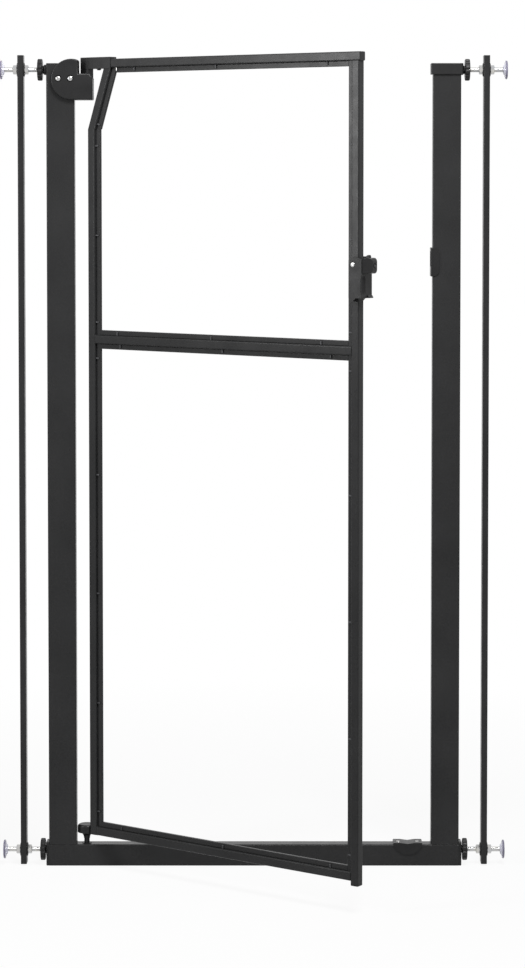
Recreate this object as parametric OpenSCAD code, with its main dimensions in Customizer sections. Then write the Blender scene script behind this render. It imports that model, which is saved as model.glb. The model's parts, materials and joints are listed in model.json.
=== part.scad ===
// Extra-tall pressure-mounted safety gate: U frame, two-way swing door,
// self-closing top hinge, sliding latch and adjustable side bars.
// Units are millimetres. X runs across the opening, Y front to back, Z up.
// The origin is on the floor, under the middle of the threshold bar.

/* [Frame] */
// Clear width between the posts
clear_w = 586; // [480:1:700]
// Height of the posts above the floor
frame_h = 1325; // [1150:5:1400]
// Post width across the opening
post_w = 46; // [42:1:60]
// Post and threshold depth, front to back
post_d = 25; // [24:0.5:30]
// Wall of the posts and the threshold tube
post_wall = 1.5; // [1.2:0.1:2]
// Height of the threshold bar
sill_h = 36; // [36:1:42]
// Outside corner radius of the posts and threshold
post_round = 2; // [1:0.5:3]
// Thickness of the threshold end caps
end_cap_t = 4.6; // [3:0.2:6]
// Height of the sleeve cap on the latch post
cap_h = 18; // [14:1:24]
// Overhang of the sleeve cap on each side
cap_lip = 3.3; // [2:0.1:4]

/* [Door] */
// How far the door stands open
door_angle = 36.45; // [0:0.05:90]
// Outside size of the square door tube
door_tube = 14; // [13:0.5:15]
// Wall of the door tube
door_wall = 1.2; // [1:0.1:1.5]
// Outside corner radius of the door tube
door_round = 1.5; // [1:0.5:2.5]
// Width of the panel retaining strips
strip_w = 8.4; // [6:0.2:10]
// Depth of the panel retaining strips
strip_d = 5; // [4:0.5:6]
// Height of the top of the door above the posts' tops
door_rise = 6; // [0:1:8]
// Underside of the bottom rail above the floor
door_low = 53.5; // [52:0.5:60]
// Middle of the mid rail above the floor
mid_z = 874; // [600:5:900]
// Height of the slanted corner under the top rail
slant_h = 100; // [90:5:140]
// How far the slanted corner leans in
slant_in = 33.7; // [32:0.5:45]
// Bottom of the latch stile's foot
foot_z = 46; // [45.5:0.5:50]

/* [Hinge] */
// Hinge axis from the post's inner face
axis_off = 16; // [16:0.5:20]
// Hinge stile's outer face from the hinge axis
stile_off = 12; // [11:0.5:14]
// Radius of the round hinge cover
cover_r = 33.5; // [31:0.5:36]
// Thickness of the cover over the post's face
cover_t = 7; // [6:0.5:9]
// Radius of the hinge spindle
spindle_r = 5; // [4:0.5:6]
// Radius of the closer cartridge
closer_r = 11; // [9:0.5:11.5]
// Radius of the lower pivot pin
pin_r = 4.5; // [4:0.25:5]
// Radius of the lower pivot block
pivot_r = 15.2; // [13.2:0.2:15.2]

/* [Latch] */
// Gap between the latch stile and the post
latch_gap = 19.6; // [19:0.2:24]
// Height of the latch bolt's middle
latch_z = 1005; // [940:5:1050]
// How far the bolt reaches past the post's inner face
bolt_reach = 5.6; // [4.5:0.1:5.6]
// Travel of the bolt
bolt_travel = 9.5; // [8:0.5:9.5]
// Half depth of the bolt where it enters the strike
bolt_half = 9.8; // [7:0.2:9.8]
// Half depth of the bolt's rear
block_half = 12.8; // [11:0.1:12.8]
// Height of the bolt's nose
bolt_h = 24; // [20:1:24]
// Half depth of the latch housing
housing_half = 14.2; // [14:0.2:16]
// Reach of the housing past the stile
housing_reach = 10; // [10:0.5:10.5]

/* [Side bars] */
// Middle of a side bar from the post's outer face
bar_off = 42; // [38:1:60]
// Side bar width across the opening
bar_w = 10; // [8:1:12]
// Bottom of the side bars above the floor
bar_low = 3; // [2:0.5:6]
// Rise of the side bars above the posts
bar_rise = 13; // [8:1:20]
// Outer face of the wall pads from the post's outer face
pad_off = 76; // [74:1:100]
// Wall pad radius
pad_r = 15.5; // [14:0.5:18]
// Rod radius
rod_r = 4; // [3.5:0.5:4]
// Handwheel radius
wheel_r = 18; // [16:0.5:19]
// Handwheel rim width
wheel_w = 8; // [7:0.5:10]
// Height of the lower rods
low_rod_z = 25.5; // [24:0.5:25.5]
// Upper rods below the posts' tops
top_rod_drop = 10.5; // [10.5:0.5:12]

/* [Hidden] */
$fn = 32;
run_gap = 0.05;                    // radial running clearance of shafts
slide_gap = 0.3;                   // gap between parts that move past each other
eps = 0.01;

inner = clear_w / 2;               // posts' inner faces
outer = inner + post_w;            // posts' outer faces
half_d = post_d / 2;
hinge_x = -inner + axis_off;

dt = door_tube;
dh = dt / 2;
u_in = stile_off;                  // hinge stile, outer face
u_in2 = u_in + dt;                 // hinge stile, inner face
u_out = clear_w - axis_off - latch_gap; // latch stile, outer face
u_out2 = u_out - dt;               // latch stile, inner face
u_post = clear_w - axis_off;       // latch post's face, from the axis
door_top = frame_h + door_rise;
rail_z = door_top - dt;            // top rail, underside
mid_lo = mid_z - dh;
mid_hi = mid_z + dh;
low_hi = door_low + dt;
arm_top = door_top + 3.2;          // top of the hinge bracket
arm_low = rail_z - 1.5;            // underside of the hinge bracket
bend_z = arm_low - slant_h + 1.5;  // where the hinge stile starts to lean
lean = slant_in / (arm_low - bend_z);
slant_w = dt * sqrt(1 + lean * lean);
slant_sw = strip_w * sqrt(1 + lean * lean);

cover_z = frame_h - 26.5;          // middle of the round cover
cover_x = -inner - 4.5;
cover_cut = hinge_x - 9.3;         // flat edge beside the bracket
block_top = arm_low - 7.5;         // top of the hinge block
core_top = block_top - 8.8;        // top of the block behind its face plates
plate_t = 3.7;                     // thickness of those plates
block_low = cover_z - cover_r;
block_r = hinge_x + closer_r + 3.4;
knuckle_low = core_top + slide_gap;
knuckle_r = 6.5;
cartridge_low = block_low + 3;
bush_low = core_top - 5;
cover_y = half_d + cover_t;

top_rod_z = frame_h - top_rod_drop;
bar_x = outer + bar_off;
bar_top = frame_h + bar_rise;
pad_x = outer + pad_off;
pad_t = 6.5;
rod_in = outer - 25;               // inner end of the rods
wheel_x = outer + max(end_cap_t, cap_lip) + 1.9; // wheel's inner plane
hub_r = 6.5;
hub_h = 1.1;
sleeve_r = 7;
sleeve_end = wheel_x - hub_h - slide_gap;
nut_t = 6.5;
nut_r = 6.5 / cos(30);
washer_t = 1.2;
washer_r = 11;

bolt_tip = u_post + bolt_reach;
housing_u = u_out + housing_reach;
bolt_back = housing_u - 0.1;       // rear of the nose block
tail_half = 4.5;
tail_h = 14;
tail_end = bolt_back - housing_reach - 2.8;
strike_t = 3;
strike_low = latch_z - 28.3;
strike_top = latch_z + 18.7;
wing_w = 11;
wing_t = 2;
tab_u = bolt_back + 0.7;           // thumb tab, clear of the strike
tab_l = u_post - strike_t - 0.5 - tab_u;

catch_w = 48;
catch_x = inner - 38.2;            // middle of the lower catch
catch_top = sill_h + 3;
catch_t = 2;

screw_r = 2;
screw_gap = 0.15;                  // radial clearance of screws in their holes
catch_sink = 1.2;                  // depth of the catch's screw recesses
pivot_top = door_low + 14.5;
pivot_foot = door_low - 9;
grip_low = latch_z - 46.5;         // finger recess of the latch housing
grip_high = latch_z - 14.4;
hinge_screw_x = [cover_x - 21.4, cover_x - 1.7];
hinge_screw_z = cover_z + 1.3;
catch_screw = 15.7;

clip_l = 6;
clip_h = 2.6;
clip_t = 2.2;
upper_fr = [0.063, 0.485, 0.92];          // clip places, as shares of a window
lower_fr = [0.032, 0.258, 0.485, 0.73, 0.97];
top_fr = [0.1605, 0.485, 0.907];
mid_fr = [0.088, 0.465, 0.885];
low_fr = [0.1, 0.51, 0.921];

charcoal = [0.2, 0.2, 0.2];
black = [0.08, 0.08, 0.08];
zinc = [0.75, 0.76, 0.78];
clear_white = [0.82, 0.87, 0.93];

// ---- shared shapes ----

module round_rect(w, d, r) {
  offset(r = r, $fn = 16)
    square([w - 2 * r, d - 2 * r], center = true);
}

// Hollow tube along Z, centred on X and Y, from z0 to z1.
module tube_z(w, d, z0, z1, wall, r) {
  translate([0, 0, z0])
    linear_extrude(z1 - z0)
      difference() {
        round_rect(w, d, r);
        square([w - 2 * wall, d - 2 * wall], center = true);
      }
}

// The same tube along X, from x0 to x1; w is its size in Z.
module tube_x(w, d, x0, x1, wall, r) {
  translate([x0, 0, 0])
    rotate([0, 90, 0])
      tube_z(w, d, 0, x1 - x0, wall, r);
}

module rod_x(x0, x1, r, z) {
  translate([x0, 0, z])
    rotate([0, 90, 0])
      cylinder(r = r, h = x1 - x0);
}

module rod_y(x, y0, y1, r, z) {
  translate([x, y1, z])
    rotate([90, 0, 0])
      cylinder(r = r, h = y1 - y0);
}

module rod_z(x, z0, z1, r) {
  translate([x, 0, z0])
    cylinder(r = r, h = z1 - z0);
}

module box(x0, x1, y0, y1, z0, z1) {
  translate([x0, y0, z0])
    cube([x1 - x0, y1 - y0, z1 - z0]);
}

// Shapes drawn for the left side, mirrored for the right.
module on_right() {
  mirror([1, 0, 0])
    children();
}

// Shapes drawn with the hinge axis at the origin and the door along X.
module on_door() {
  translate([hinge_x, 0, 0])
    rotate([0, 0, -door_angle])
      children();
}

// ---- frame ----

module post_tube(top) {
  translate([-inner - post_w / 2, 0, 0])
    tube_z(post_w, post_d, sill_h, top, post_wall, post_round);
}

module sleeve_hole() {
  rod_x(-outer - eps, -outer + post_wall + eps, sleeve_r, top_rod_z);
}

module left_post() {
  color(charcoal)
    difference() {
      post_tube(frame_h - 2);
      sleeve_hole();
      for (x = hinge_screw_x)
        rod_y(x, -half_d - eps, half_d + eps, screw_r, hinge_screw_z);
    }
}

module right_post() {
  color(charcoal)
    difference() {
      on_right()
        difference() {
          post_tube(frame_h - 3);
          sleeve_hole();
        }
      box(inner - eps, inner + post_wall + eps,
        -bolt_half - 1, bolt_half + 1,
        latch_z - bolt_h / 2 - 1, latch_z + bolt_h / 2 + 1);
    }
}

module threshold_bar() {
  color(charcoal)
    difference() {
      translate([0, 0, sill_h / 2])
        tube_x(sill_h, post_d, -outer, outer, post_wall, post_round);
      rod_z(hinge_x, sill_h - post_wall - eps, sill_h + eps, pin_r + 2);
      for (s = [-1, 1])
        rod_z(catch_x + s * catch_screw, sill_h - post_wall - eps,
          sill_h + eps, screw_r);
    }
}

module end_cap() {
  difference() {
    union() {
      translate([-outer - end_cap_t, 0, (sill_h + 4) / 2])
        rotate([0, 90, 0])
          linear_extrude(end_cap_t)
            round_rect(sill_h + 4, post_d, 1.5);
      box(-outer, -outer + 10, -half_d + post_wall, half_d - post_wall,
        post_wall, sill_h - post_wall);
    }
    rod_x(-outer - end_cap_t - eps, -outer + 10 + eps, sleeve_r, low_rod_z);
  }
}

module left_end_cap() {
  color(black)
    end_cap();
}

module right_end_cap() {
  color(black)
    on_right()
      end_cap();
}

module left_post_cap() {
  color(charcoal)
    union() {
      translate([-inner - post_w / 2, 0, frame_h - 2])
        linear_extrude(2)
          round_rect(post_w, post_d, post_round);
      box(-inner - 26, -inner - 8, -8, 8, frame_h - 5, frame_h - 2);
    }
}

module right_post_cap() {
  cap_w = post_w + 2 * cap_lip;
  cap_d = post_d + 2 * cap_lip;
  color(charcoal)
    difference() {
      translate([inner + post_w / 2, 0, frame_h - cap_h])
        linear_extrude(cap_h)
          round_rect(cap_w, cap_d, 3);
      box(inner, outer, -half_d, half_d,
        frame_h - cap_h - eps, frame_h - 3);
      rod_x(outer - eps, outer + cap_lip + eps, sleeve_r + 1.7, top_rod_z);
    }
}

// Threaded sleeves that carry the rods through posts and end caps;
// the upper ones have a collar that narrows towards the wheel's hub.
module sleeve_pair() {
  collar_r = sleeve_r + 1.5;
  difference() {
    union() {
      rod_x(-outer, -outer + 12, sleeve_r, top_rod_z);
      rod_x(-outer - cap_lip, -outer, collar_r, top_rod_z);
      translate([-outer - cap_lip, 0, top_rod_z])
        rotate([0, -90, 0])
          cylinder(r1 = collar_r, r2 = hub_r, h = sleeve_end - outer - cap_lip);
      rod_x(-outer - end_cap_t, -outer + 14, sleeve_r, low_rod_z);
    }
    for (z = [top_rod_z, low_rod_z])
      rod_x(-outer - 9, -outer + 20, rod_r + run_gap, z);
  }
}

module rod_sleeves() {
  color(black) {
    sleeve_pair();
    on_right()
      sleeve_pair();
  }
}

// One half of the hinge cover, in front of Y = 0.
module cover_half() {
  chamfer = 2.5;
  difference() {
    union() {
      translate([cover_x, -half_d, cover_z])
        rotate([90, 0, 0]) {
          cylinder(r = cover_r, h = cover_t - chamfer, $fn = 72);
          translate([0, 0, cover_t - chamfer])
            cylinder(r1 = cover_r, r2 = cover_r - chamfer,
              h = chamfer, $fn = 72);
        }
      box(-inner, block_r, -cover_y + 1, 0, block_low, core_top);
      // face plate, its upper corner sloping down to the block
      translate([0, -cover_y + plate_t, 0])
        rotate([90, 0, 0])
          linear_extrude(plate_t)
            polygon([[-inner - 6, block_low], [block_r, block_low],
              [block_r, core_top + 0.8], [block_r - 5.5, block_top],
              [-inner - 6, block_top]]);
    }
    // flat edge, and the knuckle's room behind the face plate
    box(cover_cut, cover_x + 60, -cover_y - 1, 1, block_top, frame_h + 40);
    box(cover_cut, cover_x + 60, -cover_y + plate_t, 1, core_top,
      block_top + 1);
    translate([0, 1, 0])
      rotate([90, 0, 0])
        linear_extrude(cover_y + 2)
          polygon([[block_r - 5.5, block_top], [block_r, core_top + 0.8],
            [block_r + 20, core_top + 0.8], [block_r + 20, block_top + 1],
            [block_r - 5.5, block_top + 1]]);
    // nothing right of the block
    box(block_r, cover_x + 80, -cover_y - 1, 1, block_low - 20, frame_h);
    // bore of the closer
    rod_z(hinge_x, cartridge_low, core_top + 1, closer_r);
    for (x = hinge_screw_x) {
      rod_y(x, -cover_y - 1, -half_d + 1, screw_r, hinge_screw_z);
      rod_y(x, -cover_y - 1, -cover_y + 2.2, 5.2, hinge_screw_z);
    }
  }
}

module hinge_cover_front() {
  color(black)
    cover_half();
}

module hinge_cover_rear() {
  color(black)
    mirror([0, 1, 0])
      cover_half();
}

// Pan-head screw along +Y with its head's underside at y = 0.
module pan_screw(head_r, head_h, length) {
  rotate([-90, 0, 0]) {
    translate([0, 0, -eps])
      cylinder(r = screw_r - screw_gap, h = length + eps);
    translate([0, 0, -head_h / 2])
      cylinder(r = head_r, h = head_h / 2);
    translate([0, 0, -head_h])
      cylinder(r1 = head_r * 0.72, r2 = head_r, h = head_h / 2);
  }
}

module hinge_screws() {
  color(zinc)
    for (x = hinge_screw_x)
      for (s = [0, 1])
        mirror([0, s, 0])
          translate([x, -cover_y + 2.2, hinge_screw_z])
            pan_screw(4.1, 2.4, cover_t + 2.5);
}

module closer_cartridge() {
  color(zinc)
    difference() {
      rod_z(hinge_x, cartridge_low, bush_low, closer_r);
      rod_z(hinge_x, cartridge_low + 2, bush_low + 1, spindle_r + run_gap);
    }
}

module hinge_bush() {
  color(black)
    difference() {
      rod_z(hinge_x, bush_low, core_top, closer_r);
      rod_z(hinge_x, bush_low - 1, core_top + 1, spindle_r + run_gap);
    }
}

module pivot_bush() {
  color(black)
    difference() {
      union() {
        rod_z(hinge_x, 20, sill_h, pin_r + 2);
        rod_z(hinge_x, sill_h, sill_h + 1, pin_r + 3.2);
      }
      rod_z(hinge_x, 19, sill_h + 3, pin_r + run_gap);
    }
}

module strike_wing() {
  r = wing_w - 1;
  linear_extrude(wing_t)
    union() {
      polygon([[-strike_t, strike_low + r], [wing_w, strike_low + r],
        [wing_w, strike_top - 8], [wing_w - 8, strike_top],
        [-strike_t, strike_top]]);
      translate([-strike_t, strike_low])
        square([strike_t + 1, r]);
      intersection() {
        translate([1, strike_low + r])
          circle(r = r);
        translate([1, strike_low])
          square([r, r]);
      }
    }
}

module strike_plate() {
  color(black)
    difference() {
      union() {
        box(inner - strike_t, inner, -half_d - wing_t, half_d + wing_t,
          strike_low, strike_top);
        for (y = [-half_d, half_d + wing_t])
          translate([inner, y, 0])
            rotate([90, 0, 0])
              strike_wing();
      }
      box(inner - strike_t - 1, inner + 1,
        -bolt_half - 0.4, bolt_half + 0.4,
        latch_z - bolt_h / 2 - 0.4, latch_z + bolt_h / 2 + 0.4);
    }
}

module lower_catch() {
  w = catch_w / 2;
  skirt_r = 25.6;
  color(black)
    difference() {
      union() {
        translate([catch_x, half_d + catch_t, 0])
          rotate([90, 0, 0])
            linear_extrude(post_d + 2 * catch_t)
              polygon([[-w, sill_h], [w, sill_h], [w, catch_top - 1],
                [w - 1, catch_top], [w / 2, catch_top],
                [0, sill_h + 1.3], [-w / 2, catch_top],
                [1 - w, catch_top], [-w, catch_top - 1]]);
        for (y = [-half_d - catch_t, half_d])
          intersection() {
            rod_y(catch_x, y, y + catch_t, skirt_r, sill_h + 9);
            box(catch_x - w, catch_x + w, y - 1, y + catch_t + 1,
              0, sill_h + eps);
          }
      }
      for (s = [-1, 1]) {
        rod_z(catch_x + s * catch_screw, sill_h - 1, catch_top + 1,
          screw_r);
        rod_z(catch_x + s * catch_screw, catch_top - catch_sink,
          catch_top + 1, 4.2);
      }
    }
}

module catch_screws() {
  color(zinc)
    for (s = [-1, 1])
      translate([catch_x + s * catch_screw, 0, catch_top - catch_sink])
        rotate([-90, 0, 0])
          pan_screw(3.5, 1.6, 12);
}

// ---- side bars ----

module side_bar() {
  color(charcoal)
    difference() {
      translate([-bar_x, 0, 0])
        tube_z(bar_w, post_d, bar_low + 1.5, bar_top - 1.5, 1.2, 1.5);
      for (z = [top_rod_z, low_rod_z])
        rod_x(-bar_x - bar_w, -bar_x + bar_w, rod_r + 0.25, z);
    }
}

module left_side_bar() {
  side_bar();
}

module right_side_bar() {
  on_right()
    side_bar();
}

module bar_plugs() {
  color(black)
    for (z = [bar_low, bar_top - 1.5])
      translate([-bar_x, 0, z])
        linear_extrude(1.5)
          round_rect(bar_w, post_d, 1.5);
  color(black) {
    box(-bar_x - 3, -bar_x + 3, -8, 8, bar_low + 1.5, bar_low + 6);
    box(-bar_x - 3, -bar_x + 3, -8, 8, bar_top - 6, bar_top - 1.5);
  }
}

module left_bar_plugs() {
  bar_plugs();
}

module right_bar_plugs() {
  on_right()
    bar_plugs();
}

module rods() {
  color(zinc)
    for (z = [top_rod_z, low_rod_z]) {
      rod_x(-pad_x + 3, -rod_in - 1, rod_r, z);
      translate([-rod_in - 1, 0, z])
        rotate([0, 90, 0])
          cylinder(r1 = rod_r, r2 = rod_r - 1, h = 1);
    }
}

module left_rods() {
  rods();
}

module right_rods() {
  on_right()
    rods();
}

module nut(x, z) {
  difference() {
    translate([x, 0, z])
      rotate([0, 90, 0])
        cylinder(r = nut_r, h = nut_t, $fn = 6);
    rod_x(x - 1, x + nut_t + 1, rod_r, z);
  }
}

module nuts() {
  color(zinc)
    for (z = [top_rod_z, low_rod_z]) {
      nut(-bar_x - bar_w / 2 - washer_t - nut_t, z);
      nut(-bar_x + bar_w / 2 + washer_t, z);
    }
}

module left_nuts() {
  nuts();
}

module right_nuts() {
  on_right()
    nuts();
}

module washers() {
  color(black)
    for (z = [top_rod_z, low_rod_z])
      for (x = [-bar_x - bar_w / 2 - washer_t, -bar_x + bar_w / 2])
        difference() {
          rod_x(x, x + washer_t, washer_r, z);
          rod_x(x - 1, x + washer_t + 1, rod_r, z);
        }
}

module left_washers() {
  washers();
}

module right_washers() {
  on_right()
    washers();
}

module pads() {
  color(clear_white)
    for (z = [top_rod_z, low_rod_z])
      difference() {
        union() {
          rod_x(-pad_x, -pad_x + 3.5, pad_r, z);
          translate([-pad_x + 3.5, 0, z])
            rotate([0, 90, 0])
              cylinder(r1 = pad_r - 2, r2 = 8, h = pad_t - 3.5);
        }
        rod_x(-pad_x + 3, -pad_x + pad_t + 1, rod_r, z);
      }
}

module left_pads() {
  pads();
}

module right_pads() {
  on_right()
    pads();
}

// Handwheel with a scalloped rim; its bore rides on the rod.
module handwheel(z) {
  lobes = 12;
  color(black)
    translate([-wheel_x, 0, z])
      rotate([0, -90, 0])
        difference() {
          union() {
            translate([0, 0, 1])
              cylinder(r = wheel_r, h = wheel_w - 2, $fn = 48);
            cylinder(r1 = wheel_r - 1, r2 = wheel_r, h = 1, $fn = 48);
            translate([0, 0, wheel_w - 1])
              cylinder(r1 = wheel_r, r2 = wheel_r - 1, h = 1, $fn = 48);
            translate([0, 0, -hub_h])
              cylinder(r = hub_r, h = hub_h + 0.1);
          }
          translate([0, 0, wheel_w - 2])
            difference() {
              cylinder(r = 12.5, h = 3);
              translate([0, 0, -1])
                cylinder(r = 7, h = 5);
            }
          translate([0, 0, -2])
            cylinder(r = rod_r + run_gap, h = wheel_w + 3);
          for (i = [0 : lobes - 1])
            rotate([0, 0, i * 360 / lobes])
              translate([wheel_r + 0.9, 0, -1])
                cylinder(r = 2.6, h = wheel_w + 2, $fn = 20);
        }
}

module left_upper_wheel() {
  handwheel(top_rod_z);
}

module left_lower_wheel() {
  handwheel(low_rod_z);
}

module right_upper_wheel() {
  on_right()
    handwheel(top_rod_z);
}

module right_lower_wheel() {
  on_right()
    handwheel(low_rod_z);
}

// ---- door ----

module stile(u, z0, z1) {
  translate([u + dh, 0, 0])
    tube_z(dt, dt, z0, z1, door_wall, door_round);
}

module rail(z, u0, u1) {
  translate([0, 0, z + dh])
    tube_x(dt, dt, u0, u1, door_wall, door_round);
}

module hinge_stile() {
  color(charcoal)
    on_door()
      stile(u_in, door_low, bend_z);
}

// Leaning bar in the door's plane, its left edge a from the stile's
// outer face, w wide and d deep.
module leaning_bar(a, w, d, z0, z1) {
  translate([u_in + a, d / 2, 0])
    rotate([90, 0, 0])
      linear_extrude(d)
        polygon([[lean * (z0 - bend_z), z0], [lean * (z0 - bend_z) + w, z0],
          [lean * (z1 - bend_z) + w, z1], [lean * (z1 - bend_z), z1]]);
}

module slant_tube() {
  wall_u = door_wall * sqrt(1 + lean * lean);
  color(charcoal)
    on_door()
      difference() {
        leaning_bar(0, slant_w, dt, bend_z, arm_low);
        leaning_bar(wall_u, slant_w - 2 * wall_u, dt - 2 * door_wall,
          bend_z - 1, arm_low + 1);
      }
}

module latch_stile() {
  color(charcoal)
    on_door()
      difference() {
        stile(u_out2, foot_z + 4, rail_z);
        box(u_out - door_wall - eps, u_out + eps,
          -tail_half - slide_gap, tail_half + slide_gap,
          latch_z - tail_h / 2 - slide_gap,
          latch_z + tail_h / 2 + slide_gap);
        rod_y(u_out2 + dh, -dh - 1, dh + 1, screw_r, latch_z + 1.5);
      }
}

module top_rail() {
  color(charcoal)
    on_door()
      rail(rail_z, 16, u_out);
}

module mid_rail() {
  color(charcoal)
    on_door()
      rail(mid_lo, u_in2, u_out2);
}

module bottom_rail() {
  color(charcoal)
    on_door()
      rail(door_low, u_in2, u_out2);
}

module side_strip(u, z0, z1) {
  box(u, u + strip_w, -strip_d / 2, strip_d / 2, z0, z1);
}

module rail_strip(z, u0, u1) {
  box(u0, u1, -strip_d / 2, strip_d / 2, z, z + strip_w);
}

module upper_side_strips() {
  color(charcoal)
    on_door() {
      side_strip(u_in2, mid_hi, bend_z);
      side_strip(u_out2 - strip_w, mid_hi, rail_z);
    }
}

module upper_rail_strips() {
  color(charcoal)
    on_door() {
      rail_strip(mid_hi, u_in2 + strip_w, u_out2 - strip_w);
      rail_strip(rail_z - strip_w,
        u_in + slant_in + slant_w + slant_sw + 1, u_out2 - strip_w);
    }
}

module slant_strip() {
  color(charcoal)
    on_door()
      leaning_bar(slant_w, slant_sw, strip_d, bend_z, arm_low);
}

module lower_side_strips() {
  color(charcoal)
    on_door() {
      side_strip(u_in2, low_hi, mid_lo);
      side_strip(u_out2 - strip_w, low_hi, mid_lo);
    }
}

module lower_rail_strips() {
  color(charcoal)
    on_door() {
      rail_strip(low_hi, u_in2 + strip_w, u_out2 - strip_w);
      rail_strip(mid_lo - strip_w, u_in2 + strip_w, u_out2 - strip_w);
    }
}

// Clip lying across a strip; u, z is its middle.
module clip(u, z, w, h) {
  box(u - w / 2, u + w / 2, -strip_d / 2 - clip_t, -strip_d / 2,
    z - h / 2, z + h / 2);
}

module stile_clips(z0, z1, places) {
  for (f = places) {
    clip(u_in2 + clip_l / 2, z0 + f * (z1 - z0), clip_l, clip_h);
    clip(u_out2 - clip_l / 2, z0 + f * (z1 - z0), clip_l, clip_h);
  }
}

module rail_clips(z, places) {
  for (f = places)
    clip(u_in2 + f * (u_out2 - u_in2), z, clip_h, clip_l);
}

module upper_clips() {
  color(zinc)
    on_door() {
      stile_clips(mid_hi, bend_z, upper_fr);
      rail_clips(mid_hi + clip_l / 2, mid_fr);
      rail_clips(rail_z - clip_l / 2, top_fr);
      clip(u_in + slant_in + slant_w + slant_sw + 1.6,
        rail_z - clip_l / 2, clip_h, clip_l);
      translate([u_in + slant_w + lean * 9, 0, bend_z + 9])
        rotate([0, atan(lean), 0])
          clip(clip_l / 2 + 0.3, 0, clip_l, clip_h);
    }
}

module lower_clips() {
  color(zinc)
    on_door() {
      stile_clips(low_hi, mid_lo, lower_fr);
      rail_clips(low_hi + clip_l / 2, low_fr);
      rail_clips(mid_lo - clip_l / 2, low_fr);
    }
}

module hinge_bracket() {
  color(black)
    on_door()
      difference() {
        union() {
          translate([0, 0, arm_low])
            linear_extrude(arm_top - arm_low)
              hull() {
                circle(r = knuckle_r);
                translate([20, -8])
                  square([41, 16]);
              }
          // fixing screw's head under the arm
          rod_z(31, arm_low - 1.6, arm_low + eps, 3.6);
          rod_z(31, arm_low - 2.4, arm_low, 2.6);
          translate([0, 0, knuckle_low])
            linear_extrude(arm_low - knuckle_low + eps)
              hull() {
                circle(r = knuckle_r);
                translate([0, -knuckle_r])
                  square([13.5, 2 * knuckle_r]);
              }
        }
        box(16, 65, -dh, dh, rail_z, door_top);
        rod_z(0, knuckle_low - 1, door_top, spindle_r);
      }
}

module hinge_spindle() {
  color(zinc)
    on_door()
      rod_z(0, cartridge_low + 3, door_top, spindle_r);
}

module pivot_block() {
  fillet = pivot_r - pin_r - 0.5;
  crown = 4;
  color(black)
    on_door()
      difference() {
        union() {
          rotate_extrude($fn = 48)
            difference() {
              translate([pin_r, pivot_foot])
                square([pivot_r - pin_r, pivot_top - pivot_foot]);
              translate([pivot_r, pivot_foot])
                circle(r = fillet);
              translate([pivot_r - crown, pivot_top - crown])
                difference() {
                  square([crown + 1, crown + 1]);
                  circle(r = crown);
                }
            }
          box(pin_r + 1, u_in, -dh, dh, door_low, pivot_top);
        }
        box(u_in, u_in + 10, -20, 20, door_low - 20, pivot_top + 1);
      }
}

module pivot_pin() {
  color(black)
    on_door()
      rod_z(0, 22, pivot_top, pin_r);
}

module top_rail_plug() {
  color(black)
    on_door() {
      translate([u_out, 0, rail_z + dh])
        rotate([0, 90, 0])
          linear_extrude(2)
            round_rect(dt, dt, door_round);
      box(u_out - 8, u_out, -4, 4, rail_z + 3, rail_z + dt - 3);
    }
}

module foot_plug() {
  color(black)
    on_door()
      difference() {
        union() {
          translate([u_out2 + dh, 0, foot_z])
            linear_extrude(4)
              round_rect(dt, dt, door_round);
          box(u_out2 + 3, u_out - 3, -4, 4, foot_z + 4, foot_z + 14);
        }
        for (s = [-1, 1])
          translate([u_out2 + dh, s * (dh + 0.4), foot_z - 0.4])
            rotate([45, 0, 0])
              cube([dt + 2, 2, 2], center = true);
      }
}

// A rounded corner for the latch housing's edge beside the window.
module housing_corner(z, turn) {
  translate([u_out2, 0, z])
    rotate([90, 0, 0])
      linear_extrude(housing_half + 1)
        rotate(turn)
          difference() {
            translate([-1, -1])
              square([7, 7]);
            translate([6, 6])
              circle(r = 6);
          }
}

// One half of the latch housing, in front of the door's plane.
module housing_half_body() {
  low = latch_z - 54.6;
  top = latch_z + 13.8;
  difference() {
    union() {
      box(u_out2, housing_u, -housing_half, -dh, low, top);
      box(u_out, housing_u, -dh - eps, 0, low, top);
    }
    // rounded corners beside the door's window
    housing_corner(low, 0);
    mirror([0, 0, 1])
      housing_corner(-top, 0);
    // underside rises and top falls towards the post
    translate([0, 1, 0])
      rotate([90, 0, 0])
        linear_extrude(housing_half + 2) {
          polygon([[u_out - 6, low - 1], [u_out - 6, low],
            [u_out - 1, low + 5], [housing_u + 1, low + 5],
            [housing_u + 1, low - 1]]);
          polygon([[u_out, top], [housing_u + 1, top - 4.4],
            [housing_u + 1, top + 1], [u_out, top + 1]]);
        }
    // channel of the bolt, open above
    box(u_out - eps, housing_u + 1, -block_half - slide_gap, 1,
      latch_z - bolt_h / 2 - slide_gap, top + 1);
    rod_y(u_out2 + dh, -housing_half - 1, 0, screw_r, latch_z + 1.5);
    rod_y(u_out2 + dh, -housing_half - 1, -housing_half + 1.6, 4.6,
      latch_z + 1.5);
  }
}

module latch_housing_front() {
  scoop = 10.3;
  deep = 2.7;
  // the round ends reach this far past the scoop's straight length
  reach = sqrt(scoop * scoop - (scoop - deep) * (scoop - deep));
  low = grip_low + reach;
  high = grip_high - reach;
  color(black)
    on_door()
      difference() {
        housing_half_body();
        // finger recess: a round scoop with round ends
        translate([housing_u + scoop - deep, -10, low]) {
          cylinder(r = scoop, h = high - low, $fn = 64);
          for (z = [0, high - low])
            translate([0, 0, z])
              sphere(r = scoop, $fn = 64);
        }
      }
}

module latch_housing_rear() {
  low = latch_z - 49.6;
  color(black)
    on_door()
      union() {
        mirror([0, 1, 0])
          housing_half_body();
        // flared lip under the grip
        translate([housing_u - eps, housing_half, low])
          rotate([90, 0, 0])
            linear_extrude(housing_half - 2)
              polygon([[0, 0], [2.6, 0], [2.6, 1.5], [0, 5]]);
      }
}

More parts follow.
